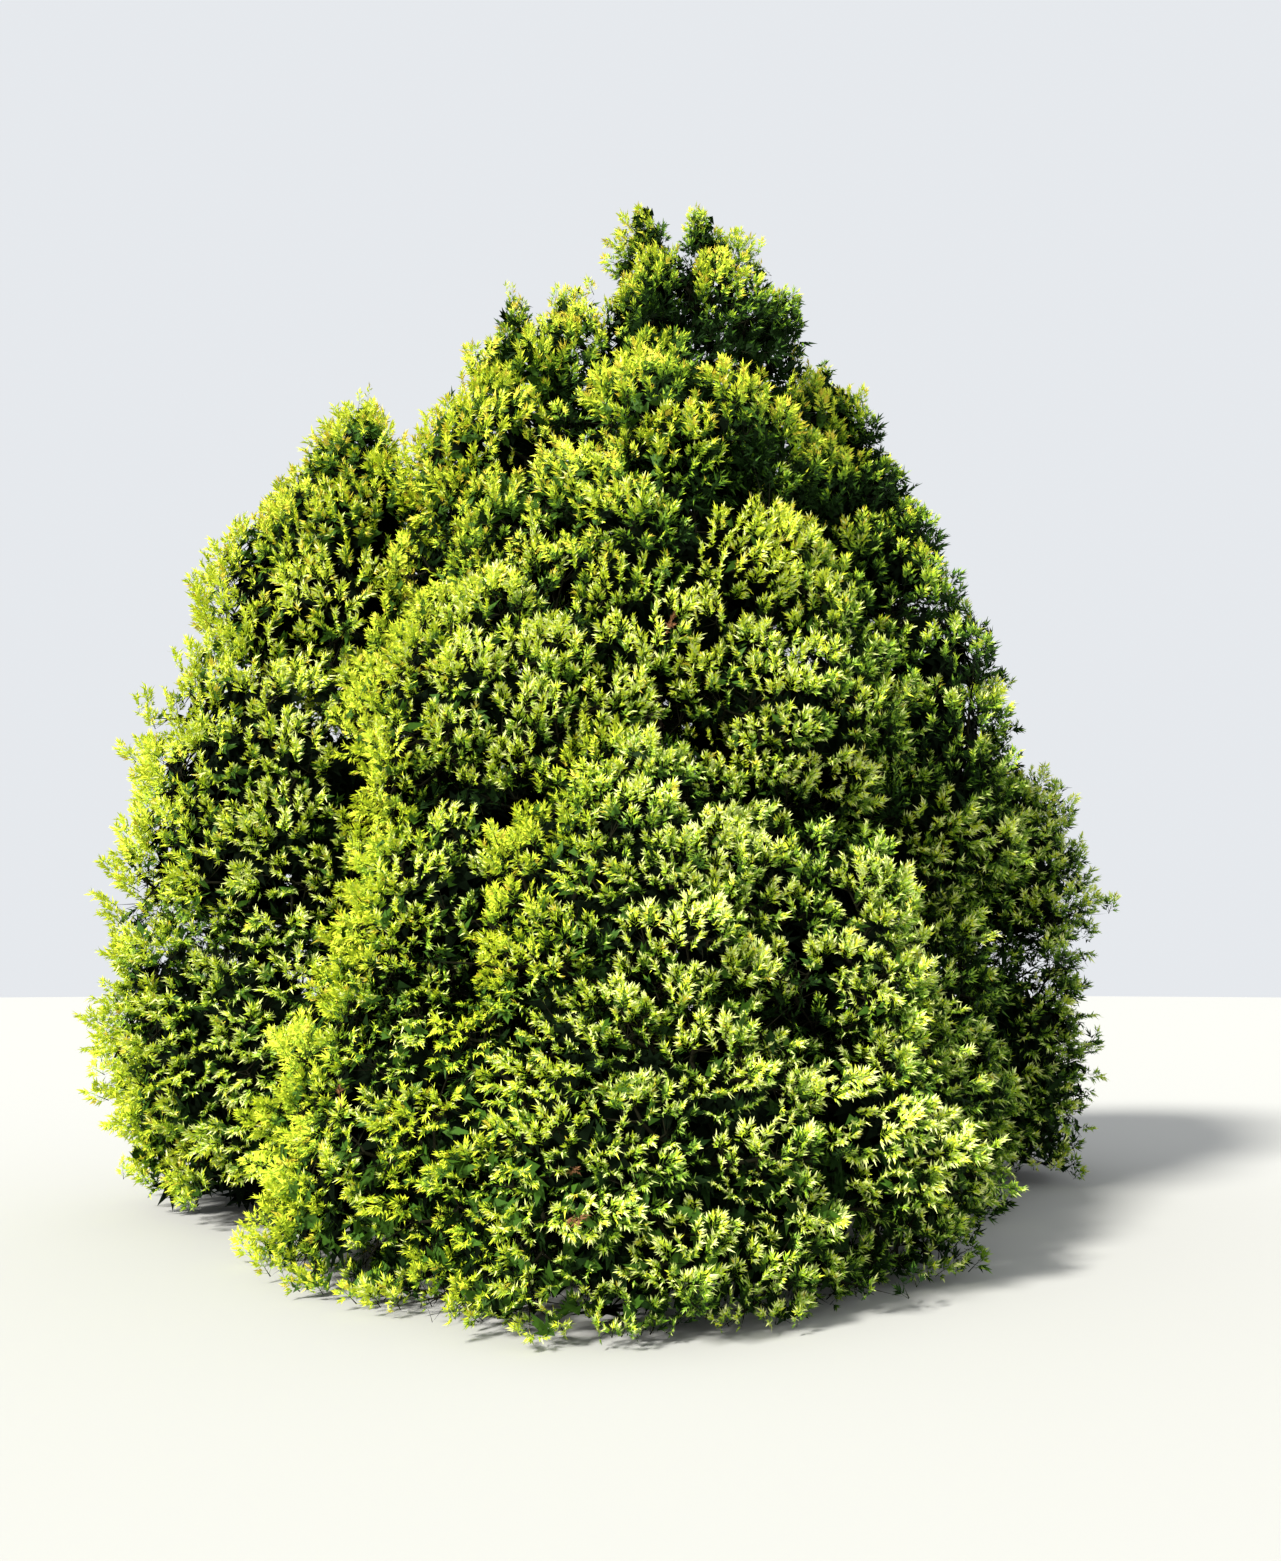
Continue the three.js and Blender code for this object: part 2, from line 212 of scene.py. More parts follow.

# The dark inside of the crown as painted shade, in layers of broad near-black sprays: depth, sprays at a
# place, size and margin
INNER_LAYERS = ((0.12, 1, 0.13, 0.07), (0.17, 1, 0.24, 0.09), (0.26, 2, 0.28, 0.12), (0.42, 1, 0.36, 0.15))
INNER_SPACING = 0.178
INNER_NOISE = 0.3
INNER_ASIDE = (-0.1, 0.1)
INNER_PUSH = 0.6
INNER_VARIETY = (0.85, 1.25)
FILLER_VARIETY = (0.7, 1.2)
SEAM_SPACING = 0.15
LINING_SPACING = 0.13
CURTAIN_TOP = 0.8
CURTAIN_SPACING = 0.17
CURTAIN_DEPTH = (0.3, 0.65)
CURTAIN_HEIGHT = (0.1, 0.6)
CURTAIN_SPRAYS = 2
BOUGH_SPRAYS = 60
BOUGH_SPRAY_REACH = 0.2
ROOF_REACH = 2.5
ROOF_SLOPE = 0.5

# Kinds of near-black filler, painted shade in seams, on bare walls, behind the lowest fronds and along the
# boughs: size, margin to the fronds, and how far out of the masses (None: under their roof)
SEAM_FILLER = (0.24, 0.09, 0.08)
LINING = (0.34, 0.09, 0.07)
CURTAIN = (0.36, 0.12, None)
BOUGH_SPRAY = (0.4, 0.15, None)

# Branches, in metres
TWIG_RADIUS = 0.003
THIN_TWIG = 0.009
THICKENING = 0.42
LIMB_REACH = 0.55
FRONDS_ON_A_TWIG = 4
TRUNK_RANGE = (0.5, 6.2)
ASCENT = 0.35
BOUGHS_SERVE_BELOW = 3.4
LIMB_RADIUS = 0.06
FORK_STRAY = 0.07
FORK_SPLIT = (0.4, 0.6)
MOST_TAPER = 1.3
SAG = 0.09
CONE_WIDTH = 1.5

# Bark: sides and rings of its meshes, and its relief in metres
TRUNK_GRID = (52, 96)
BOUGH_GRID = (22, 26)
BOUGH_BINS = 9
FOOT_CROWDING = 1.5
RING_HEIGHT = 0.03
RING_CORNERS = 6
MOST_RADIUS = 1.0
LOST_RADIUS = 0.03
FULL_RELIEF_RADIUS = 0.08
BARK_SIDE = (0.02, 1.0, 0.05)
BARK_RELIEF = 0.009
BARK_SUNK = 0.45
STRIP_SHARE = 0.55
STRIPS_ROUND = 26
STRIP_WARP = (0.25, 3)
WARP_SCALE = (1.3, 1.4)
ROUGH_SHARE = 0.5
ROUGH_SCALE = (5, 6)
NOISE_REACH = (-50, 50)
BARK_RAMP = ((0.32, 0.045, 0.022, 0.012), (0.7, 0.27, 0.2, 0.15))

# Linear base colours of the foliage, from the sunniest tips to the shade, partly golden growth and partly
# painted light and shade, then dead, painted sheen and amber
FOLIAGE = {
    "foliage_gold": (0.72, 0.79, 0.045),
    "foliage_yellow": (0.51, 0.65, 0.035),
    "foliage_lime": (0.3, 0.46, 0.02),
    "foliage_green": (0.13, 0.25, 0.015),
    "foliage_deep": (0.038, 0.095, 0.009),
    "foliage_shade": (0.008, 0.022, 0.004),
    "foliage_dead": (0.2, 0.095, 0.04),
    "foliage_pale_tips": (0.78, 0.84, 0.3),
    "foliage_pale_yellow": (0.54, 0.66, 0.17),
    "foliage_pale_lime": (0.29, 0.45, 0.06),
    "foliage_amber": (0.72, 0.6, 0.055),
}
GLOSS = (0.22, 0.2, 0.16, 0.12, 0.07, 0.03, 0.1, 0.4, 0.35, 0.25, 0.2)
CLASSES = list(FOLIAGE)
DEAD = CLASSES.index("foliage_dead")
SHEEN = CLASSES.index("foliage_pale_tips")
AMBER = CLASSES.index("foliage_amber")
# Painted sheen: the surround's reflection as a paler colour on teeth facing front and right, low on the crown
SHEEN_CLASSES = 3
AMBER_CLASSES = 2
SHEEN_RIGHT = 0.9
SHEEN_BELOW = (2.6, 5.2)
SHEEN_TEETH = (0.2, 0.3, 0.35, 0.8, 0.95, 0.0)
AMBER_ABOVE = (3.6, 5.0)
AMBER_RISE = (0.2, 1)
AMBER_SHARE = 0.22

# What makes a fan's colour sunnier or darker: golden growth at open, sunny tips, and painted light and shade
# from the key light's reach and side, the sky each place sees, its height and the seams
CLASS_STEPS = (0.9, 0.7, 0.52, 0.36, 0.2)
SCORE_ALONG = 0.4
SCORE_OUTWARD = 0.15
SCORE_SKY = 0.5
MOST_SKY = 0.85
SCORE_LIT = 0.3
SCORE_LEFT = 0.32
SCORE_FRONT = 0.14
SCORE_FAR = 0.25
FAR_SIDE = (0.88, 0.47, 0.0)
SCORE_HIGH = 0.17
SCORE_MOOD = 0.05
SCORE_RELIEF = 1.5
SCORE_NOISE = 0.11
SCORE_TAKEN = 0.31

# Painted light and shade in soft spots, where the photo is lighter or darker than the rule makes it: x, z,
# reach and amount
PAINTED_LIGHT_SPOTS = (
    (0.3, 6.0, 0.7, -0.16), (0.4, 5.85, 0.28, -0.4), (-1.2, 4.9, 0.8, 0.7),
    (-2.4, 3.5, 0.8, 0.75), (-0.1, 1.8, 0.6, 0.08), (-1.3, 1.9, 0.5, 0.08),
    (-0.2, 3.2, 0.7, 0.05), (0.8, 3.4, 0.6, 0.22), (-1.3, 3.0, 0.4, 0.15),
    (0.9, 1.3, 0.7, 0.18), (1.35, 5.55, 0.3, 0.8), (2.0, 4.0, 0.6, -0.4),
    (3.1, 1.4, 0.5, -0.16),
)
# Painted shade near the ground: the fans' colour darkens below 1.2 m, most at the foot
GROUND_SHADE = ((0.0, 0.5, 1.2), (-0.1, -0.05, 0.0))

# Of the fans in a dark class a share is kept, grown in size: class, share and growth
DARK_FANS = ((5, 0.34, 1.55), (4, 0.62, 1.25))

# Looks of plain materials: colour, roughness and gloss
FLOOR_LOOK = ((0.44, 0.44, 0.42), 0.95, 0.4)
# Near-black, greenish branches and stems: painted shade of the crown's inside in place of bark colour
BRANCH_SHADE_LOOK = ((0.008, 0.008, 0.0035), 0.9, 0.05)
# Near-black painted shade for the sprays inside the crown
INNER_SHADE_LOOK = ((0.002, 0.005, 0.0015), 1.0, 0.05)
LEAF_ROUGHNESS = 0.55
MOST_TRIANGLES = 195000

# How far fans may stand past the CAD box, as a share of its sides and in metres
PAST_SHARE = 0.03
PAST_BOX = 0.005

# Where the photo shows upright shoots and dead tufts, in its pixels
SHOOTS_AT = ((515, 272), (528, 290), (555, 277), (638, 205), (652, 215), (700, 210), (728, 228), (355, 392),
             (768, 420), (778, 416), (788, 407), (797, 396), (812, 372), (824, 366))
SHOOTS_EACH = 2
SHOOT_LENGTH = 0.22
SHOOT_SIZE = 0.75
SHOOT_MOOD = 5.0
SHOOT_NOISE = 0.12
DEAD_AT = ((318, 1090), (575, 1165), (583, 1210), (683, 605))
DEAD_EACH = 1
NEAR_PX = 16
METRES_PER_STRAY_PX = 10


def unit(v):
    """v, or each row of it, at length 1."""
    return v / np.maximum(np.linalg.norm(v, axis=-1, keepdims=True), 1e-9)


def dots(a, b):
    """The dot product of each pair of rows."""
    return np.sum(a * b, axis=-1)


def square_to(v, axis):
    """Each row of v made square to its row of axis, at length 1."""
    return unit(v - dots(v, axis)[:, None] * axis)


def new_object(name, data):
    """A new object in the scene."""
    made = bpy.data.objects.new(name, data)
    bpy.context.scene.collection.objects.link(made)
    return made


def mesh_object(name, points, triangles, material):
    """A new mesh object of plain triangles."""
    data = bpy.data.meshes.new(name)
    data.vertices.add(len(points))
    data.vertices.foreach_set("co", np.asarray(points, np.float32).ravel())
    data.loops.add(3 * len(triangles))
    data.loops.foreach_set("vertex_index", np.asarray(triangles, np.int32).ravel())
    data.polygons.add(len(triangles))
    data.polygons.foreach_set("loop_start", np.arange(0, 3 * len(triangles), 3, dtype=np.int32))
    data.update(calc_edges=True)
    data.materials.append(material)
    return new_object(name, data)


def loose_object(name, corners, material):
    """A mesh object of triangles that share no corners."""
    faces = np.arange(3 * len(corners)).reshape(-1, 3)
    return mesh_object(name, corners.reshape(-1, 3), faces, material)


def merged(sets):
    """Several meshes, each of points and triangles, as one."""
    counts = np.cumsum([0] + [len(points) for points, _ in sets])
    triangles = [triangles + count for (_, triangles), count in zip(sets, counts)]
    return np.concatenate([points for points, _ in sets]), np.concatenate(triangles)


def ray_tree(points, triangles):
    """A mesh as a tree for rays and nearest places."""
    return BVHTree.FromPolygons([Vector(p) for p in points], triangles.tolist())


def place_tree(places):
    """The places as a tree that finds the nearest."""
    tree = KDTree(len(places))
    for index, place in enumerate(places):
        tree.insert(Vector(place), index)
    tree.balance()
    return tree


def is_clear(crown, start, way, distance):
    """True where a ray meets no mass within a distance."""
    return crown.ray_cast(Vector(start), Vector(way), distance)[0] is None


# Reading the CAD frame

def welded(node):
    """A node's corners, each once, and its triangles."""
    data = node.data
    corners = np.empty(3 * len(data.vertices), np.float32)
    data.vertices.foreach_get("co", corners)
    data.calc_loop_triangles()
    triangles = np.empty(3 * len(data.loop_triangles), np.int32)
    data.loop_triangles.foreach_get("vertices", triangles)
    corners = np.round(corners.reshape(-1, 3), WELD_DIGITS)
    points, back = np.unique(corners, axis=0, return_inverse=True)
    return points.astype(float), back.reshape(-1)[triangles].reshape(-1, 3)


def corner_normals(points, triangles):
    """Each triangle's normals at its corners, smooth over gentle edges only."""
    a, b, c = (points[triangles[:, k]] for k in range(3))
    flat = unit(np.cross(b - a, c - a))
    meeting = [[] for _ in points]
    for index, triangle in enumerate(triangles):
        for corner in triangle:
            meeting[corner].append(index)
    smooth = np.empty((len(triangles), 3, 3))
    for index, triangle in enumerate(triangles):
        for k, corner in enumerate(triangle):
            near = flat[meeting[corner]]
            smooth[index, k] = near[near @ flat[index] > SMOOTH_WITHIN].sum(axis=0)
    return unit(smooth)


def surface_samples(points, triangles, rng):
    """Random places on a mass, drawn out to a rounded surface, and their normals."""
    corners = points[triangles]
    area = np.linalg.norm(np.cross(corners[:, 1] - corners[:, 0], corners[:, 2] - corners[:, 0]), axis=1) / 2
    count = int(SAMPLES_PER_M2 * area.sum())
    chosen = rng.choice(len(triangles), count, p=area / area.sum())
    share = rng.random((count, 2))
    folded = share.sum(axis=1) > 1
    share[folded] = 1 - share[folded]
    weights = np.column_stack([1 - share.sum(axis=1), share])
    normals = corner_normals(points, triangles)[chosen]
    corners = corners[chosen]
    place = np.einsum("ij,ijk->ik", weights, corners)
    raised = place[:, None] - dots(place[:, None] - corners, normals)[:, :, None] * normals
    place = place + ROUNDING * (np.einsum("ij,ijk->ik", weights, raised) - place)
    return place, unit(np.einsum("ij,ijk->ik", weights, normals))


def thinned(places, spacing):
    """The indices of places that keep their spacing from those before them."""
    cells = {}
    kept = []
    spacing = np.broadcast_to(spacing, len(places))
    keys = np.floor(places / spacing.max()).astype(int)
    for index, (key, place) in enumerate(zip(keys.tolist(), places)):
        near = []
        for dx in (-1, 0, 1):
            for dy in (-1, 0, 1):
                for dz in (-1, 0, 1):
                    near += cells.get((key[0] + dx, key[1] + dy, key[2] + dz), ())
        if near and np.min(np.sum((places[near] - place) ** 2, axis=1)) < spacing[index] ** 2:
            continue
        cells.setdefault(tuple(key), []).append(index)
        kept.append(index)
    return np.array(kept)


def inside_hollow(places, normals):
    """True where a place looks into the bare hollow round the trunk's foot."""
    out = places[:, :2] - HOLLOW_CENTRE
    within = np.sum((out / HOLLOW_RADIUS) ** 2, axis=1) < 1
    inward = dots(out, normals[:, :2]) < 0
    return within & inward & (places[:, 2] < HOLLOW_TOP)


def local_spacing(places):
    """The spacing of fronds: closer near the photo's camera, and in the narrow top."""
    spacing = np.interp(np.linalg.norm(places - CAMERA_PLACE, axis=1), *SPACING_BY_DISTANCE)
    return spacing * np.interp(places[:, 2], *SPACING_BY_HEIGHT)


def seen_at(places):
    """Each place's pixel in the photo, and its distance along the view."""
    pitch = math.radians(CAMERA_PITCH_DEG)
    x, y, z = (places - CAMERA_PLACE).T
    ahead = y * math.cos(pitch) + z * math.sin(pitch)
    above = z * math.cos(pitch) - y * math.sin(pitch)
    across = IMAGE_WIDTH_PX / 2 + FOCAL_PX * x / ahead
    down = IMAGE_HEIGHT_PX / 2 - FOCAL_PX * above / ahead
    return across, down, ahead


def nearest_to(pixels, places, each):
    """The places close to each pixel that are nearest to the camera."""
    across, down, ahead = seen_at(places)
    found = []
    for u, v in pixels:
        away = np.hypot(across - u, down - v)
        order = np.argsort(ahead + METRES_PER_STRAY_PX * np.maximum(away - NEAR_PX, 0))
        found += order[:each].tolist()
    return np.unique(found)


def pick(rows, chosen):
    """The chosen items of each row."""
    return [row[chosen] for row in rows]


def frond_places(masses, crown, rng):
    """Where fronds grow: places, normals and masses. Also the places in the seams and on bare walls."""
    samples = []
    for number, mass in enumerate(masses.values()):
        place, normal = surface_samples(*mass, rng)
        samples.append((place, normal, np.full(len(place), number)))
    rows = [np.concatenate(column) for column in zip(*samples)]
    bare = inside_hollow(*rows[:2])
    bare |= (rows[1][:, 2] < UNDERSIDE) & (rows[0][:, 2] < UNDERSIDE_TOP)
    lining = pick(rows, bare)
    rows = pick(rows, ~bare)
    rows = pick(rows, rng.permutation(len(rows[0])))
    open_air = np.array([
        is_clear(crown, place + JUST_OUTSIDE * normal, normal, COVERED_WITHIN)
        for place, normal, _ in zip(*rows)
    ])
    seams = pick(rows, ~open_air)
    rows = pick(rows, open_air)
    rows = pick(rows, thinned(rows[0], local_spacing(rows[0])))
    seams = pick(seams[:2], thinned(seams[0], SEAM_SPACING))
    lining = pick(lining[:2], thinned(lining[0], LINING_SPACING))
    return rows, seams, lining


def height_over(place, crown):
    """How far a place stands outside the CAD masses, or less than 0 inside them."""
    near, normal = crown.find_nearest(Vector(place))[:2]
    return (Vector(place) - near).dot(normal)


def still_carried(places, normals, crown):
    """False where a strong swell moves a frond through a thin crest to near its other side."""
    swell = soft_spots(places, SWELLS)
    carried = np.ones(len(places), bool)
    for index in np.flatnonzero(swell < STRONG_SWELL):
        moved = places[index] + swell[index] * normals[index]
        sunk = height_over(places[index], crown) - height_over(moved, crown)
        carried[index] = sunk > CARRIED_SHARE * -swell[index]
    return carried


def openness(places, normals, crown, rng):
    """The share of the sky that each place sees, and how much of the key light's side."""
    key = np.array(KEY_SIDE)
    sky = np.empty(len(places))
    lit = np.empty(len(places))
    for index, (place, normal) in enumerate(zip(places, normals)):
        start = place + LOOK_START * normal
        looks = unit(rng.normal(size=(LOOKS_OUT, 3)) * LOOK_SPREAD + normal + LOOK_LIFT * UP)
        sky[index] = np.mean([is_clear(crown, start, look, LOOK_DISTANCE) for look in looks])
        looks = unit(rng.normal(size=(LOOKS_TO_KEY, 3)) * KEY_SPREAD + key)
        lit[index] = np.mean([is_clear(crown, start, look, KEY_DISTANCE) for look in looks])
    return sky, lit


# Limbs and the branching rule

def centre_line(points):
    """The middle of a limb from end to end, from its corners."""
    middle = points.mean(axis=0)
    along = np.linalg.svd(points - middle, full_matrices=False)[2][0]
    if along[2] < 0:
        along = -along
    reach = (points - middle) @ along
    edges = np.linspace(reach.min(), reach.max() + 1e-6, BOUGH_BINS + 1)
    line = []
    for low, high in zip(edges[:-1], edges[1:]):
        group = points[(reach >= low) & (reach < high)]
        if len(group) > 2:
            line.append(group.mean(axis=0))
    return np.array(line)


def start_of(target, mass_name, trunk_line, boughs):
    """Where the branches of a mass leave the wood: the end of a bough, or the trunk below it."""
    lobe = mass_name.rsplit("_", 1)[0].replace("_low", "").replace("_high", "")
    own = [name for name in boughs if name.startswith(lobe)][:1]
    ends = [boughs[name][-1] for name in own or boughs]
    near = min(ends, key=lambda end: np.linalg.norm(end - target))
    distance = np.linalg.norm(target[:2] - trunk_line[:, :2], axis=1)
    height = np.clip(target[2] - ASCENT * distance, *TRUNK_RANGE)
    on_trunk = trunk_line[np.argmin(np.abs(trunk_line[:, 2] - height))]
    nearer = np.linalg.norm(near - target) < np.linalg.norm(on_trunk - target)
    if target[2] < BOUGHS_SERVE_BELOW and nearer:
        return near
    return on_trunk


class Wood:
    """The branches as they grow: each is a bent, tapering piece from one fork to the next."""

    def __init__(self, rng):
        self.rng = rng
        self.pieces = []
        self.ends = []

    def grow(self, start, bases, radius):
        """Forks towards a group of frond bases until each has its own twig."""
        if len(bases) <= FRONDS_ON_A_TWIG:
            self.ends += [(start, base) for base in bases]
            return
        centre = bases.mean(axis=0)
        fork = start + LIMB_REACH * (centre - start)
        length = np.linalg.norm(fork - start)
        fork = fork + self.rng.normal(size=3) * FORK_STRAY * length
        thin = TWIG_RADIUS * len(bases) ** THICKENING
        middle = (start + fork) / 2 + UP * (-SAG * length)
        self.pieces.append((start, middle, fork, min(radius, MOST_TAPER * thin), thin))
        spread = np.linalg.svd(bases - centre, full_matrices=False)[2][0]
        side = (bases - centre) @ spread
        order = np.argsort(side)
        cut = int(len(bases) * self.rng.uniform(*FORK_SPLIT))
        for half in (order[:cut], order[cut:]):
            if len(half):
                self.grow(fork, bases[half], thin)

    def tubes(self):
        """All pieces as one mesh: thin ones straight, thick ones bent."""
        thin = [piece for piece in self.pieces if piece[3] < THIN_TWIG]
        thick = [piece for piece in self.pieces if piece[3] >= THIN_TWIG]
        tubes = [tubes_of(thin, sides=3, rings=2), tubes_of(thick, sides=4, rings=3)]
        return merged([*tubes, cones_of(self.ends)])


def ring_ways(along, sides):
    """So many directions round each row of along."""
    side = unit(np.cross(along, LEANING))
    other = unit(np.cross(along, side))
    angles = np.arange(sides) * 2 * math.pi / sides
    return [math.cos(angle) * side + math.sin(angle) * other for angle in angles]


def tubes_of(pieces, sides, rings):
    """A tube for each branch piece, with so many sides and rings."""
    start, middle, end, thick, thin = (np.array([piece[k] for piece in pieces]) for k in range(5))
    ways = ring_ways(end - start, sides)
    points = []
    for t in np.linspace(0, 1, rings):
        place = (1 - t) ** 2 * start + 2 * t * (1 - t) * middle + t * t * end
        radius = (thick + t * (thin - thick))[:, None]
        points += [place + radius * way for way in ways]
    return joined(np.stack(points, axis=1), np.array(tube_walls(rings, sides)))


def cones_of(ends):
    """A pointed three-sided twig from each start to its end."""
    start, end = (np.array([pair[k] for pair in ends]) for k in range(2))
    foot = [start + CONE_WIDTH * TWIG_RADIUS * way for way in ring_ways(end - start, 3)]
    return joined(np.stack([end, *foot], axis=1), np.array([(0, 1, 2), (0, 2, 3), (0, 3, 1)]))


def tube_walls(rings, sides):
    """Triangles between the rings of a tube, open at both ends."""
    faces = []
    for ring in range(rings - 1):
        for k in range(sides):
            a = ring * sides + k
            b = ring * sides + (k + 1) % sides
            faces.append((a, b, b + sides))
            faces.append((a, b + sides, a + sides))
    return faces


def stems_of(fronds):
    """Each frond's flat, tapering stem."""
    half = TWIG_RADIUS * fronds.across
    corners = np.stack([fronds.base - half, fronds.base + half, fronds.tip], axis=1)
    return joined(corners, np.array([(0, 1, 2)]))


def joined(points, faces):
    """Many copies of one set of faces, each copy with its own row of points, as one mesh."""
    copies, count = points.shape[:2]
    triangles = faces[None] + (np.arange(copies) * count)[:, None, None]
    return points.reshape(-1, 3), triangles.reshape(-1, 3)


# Fans and fronds

def fan(rng, spread_deg, curl, half_width):
    """A fan of unit length along x: teeth that leave the stem in turn, and a stem back to the twig."""
    triangles = []
    for k in range(TEETH):
        share = k / (TEETH - 1)
        side = 1 if k % 2 else -1
        place = np.array([TOOTH_PLACE[0] + TOOTH_PLACE[1] * share, 0.0, 0.0])
        turn = rng.uniform(*TOOTH_TURN_DEG)
        angle = math.radians(spread_deg * (TOOTH_ANGLE[0] - TOOTH_ANGLE[1] * share) + turn)
        length = TOOTH_LENGTH * rng.uniform(*SIZE_VARIETY)
        triangles.append(tooth(place, angle * side, length, half_width, rng))
    half = STEM_HALF_WIDTH
    triangles.append([(-STEM_BACK, -half, 0.0), (-STEM_BACK, half, 0.0), (STEM_FRONT, 0.0, 0.0)])
    shape = np.array(triangles)
    shape[..., 2] += curl * shape[..., 0] ** 2
    return shape


def tooth(base, angle, length, half_width, rng):
    """A pointed triangle that leaves its base at an angle, twisted and tilted at random."""
    twist = rng.normal() * math.radians(TWIST_DEG)
    tilt = rng.normal() * math.radians(TILT_DEG)
    way = np.array([math.cos(angle), math.sin(angle)])
    along = np.array([*(math.cos(tilt) * way), math.sin(tilt)])
    across = np.array([-way[1] * math.cos(twist), way[0] * math.cos(twist), math.sin(twist)])
    half = half_width * across
    return [base - half, base + half, base + length * along]


def fan_kinds(half_width, rng):
    """The fans to choose from, with teeth of one width."""
    return [fan(rng, spread, curl, half_width) for spread, curl in FAN_KINDS]


def placed(shape, place, along, normal, length, mirror=1.0):
    """Copies of a shape's triangles, one for each place, as corners (copies, triangles, 3, 3)."""
    across = np.cross(normal, along) * np.reshape(mirror, (-1, 1))
    out = place[:, None, None]
    for axis, values in enumerate((along, across, normal)):
        out = out + length[:, None, None, None] * shape[None, :, :, axis, None] * values[:, None, None]
    return out


class Fronds:
    """The fronds' places and directions, with what decides their colours."""

    def __init__(self, places, normals, sky, lit, rng):
        count = len(places)
        self.places = places
        self.normals = normals
        self.sky = sky
        self.lit = lit
        self.droop = np.clip((DROOP_BELOW - places[:, 2]) / DROOP_RANGE, 0, 1)
        self.high = np.clip((places[:, 2] - HIGH[0]) / (HIGH[1] - HIGH[0]), 0, 1)
        self.clump = np.interp(self.high, (0, 1), CLUMP_SPACING)
        self.centre, self.dome, tilt = clumps(places, self.clump, rng)
        relief = np.interp(self.high, (0, 1), CLUMP_RELIEF)
        self.relief = rng.normal(size=count) * FROND_PUSH + relief * self.dome
        self.push = FROND_SHIFT + self.relief + soft_spots(places, SWELLS)
        lift = np.interp(self.droop, (0, 1), LIFT)[:, None]
        spread = CLUMP_FAN * (places - self.centre) / self.clump[:, None]
        foot = np.interp(places[:, 2], FOOT, (1, 0))[:, None]
        stray = rng.normal(size=(count, 3)) * AXIS_NOISE
        self.axis = unit(normals + (lift + foot) * UP + spread + tilt + stray)
        level = np.interp(self.droop, (0, 1), FACING_UP)[:, None]
        facing = FACING_OUT * normals + level * UP + rng.normal(size=(count, 3)) * FACING_NOISE
        self.facing = square_to(facing, self.axis)
        self.across = np.cross(self.facing, self.axis)
        self.size = rng.uniform(*SIZE_VARIETY, count) * np.interp(self.dome, *zip(*SEAM_SIZE))
        self.size *= (local_spacing(places) / FROND_SPACING) ** SIZE_POWER
        self.mood = rng.normal(size=count)
        self.base = places - FROND_DEPTH * self.axis + self.push[:, None] * normals
        self.base[:, 2] = np.maximum(self.base[:, 2], LOWEST_BASE)
        shoots = nearest_to(SHOOTS_AT, places, SHOOTS_EACH)
        self.axis[shoots] = unit(UP + rng.normal(size=(len(shoots), 3)) * SHOOT_NOISE)
        self.dead = np.isin(np.arange(count), nearest_to(DEAD_AT, places, DEAD_EACH))
        self.tip = self.base + (FROND_LENGTH * self.size)[:, None] * self.axis
        self.tip[shoots] = self.base[shoots] + SHOOT_LENGTH * self.axis[shoots]
        self.size[shoots] *= SHOOT_SIZE
        self.mood[shoots] = SHOOT_MOOD

    def keep(self, kept):
        """Drops all other fronds."""
        for name, values in list(vars(self).items()):
            setattr(self, name, values[kept])


def soft_spots(places, spots):
    """The sum at each place of soft round spots, each given as x, z, reach and amount."""
    total = np.zeros(len(places))
    for x, z, reach, amount in spots:
        away = (places[:, 0] - x) ** 2 + (places[:, 2] - z) ** 2
        total += amount * np.exp(-away / (2 * reach ** 2))
    return total


def sinking(places):
    """How far the swells move the outline in at each place, as 0 or less."""
    return np.minimum(soft_spots(places, SWELLS), 0)


def clumps(places, spacing, rng):
    """For each place its clump's middle, how far the dome stands out there, and its tilt."""
    (low, broad), (high, tall) = CLUMP_FLATTENING
    steps = np.interp(CLUMP_HEIGHTS, (low, high), (broad, tall)) * (CLUMP_HEIGHTS[1] - CLUMP_HEIGHTS[0])
    warped = places.copy()
    warped[:, 2] = np.interp(places[:, 2], CLUMP_HEIGHTS, np.cumsum(steps))
    chosen = thinned(warped, spacing)
    chosen = chosen[rng.random(len(chosen)) < CLUMPS_KEPT]
    tree = place_tree(warped[chosen])
    variety = rng.normal(size=len(chosen)) * CLUMP_VARIETY
    tilts = rng.normal(size=(len(chosen), 3)) * CLUMP_TILT
    middle = np.empty_like(places)
    tilt = np.empty_like(places)
    dome = np.empty(len(places))
    for index, place in enumerate(warped):
        (_, own, near), (_, _, next_near) = tree.find_n(Vector(place), 2)
        middle[index] = places[chosen[own]]
        tilt[index] = tilts[own]
        seam = (next_near - near) / (next_near + near + 1e-6)
        dome[index] = math.sqrt(seam) - 0.5 + variety[own]
    return middle, dome, tilt


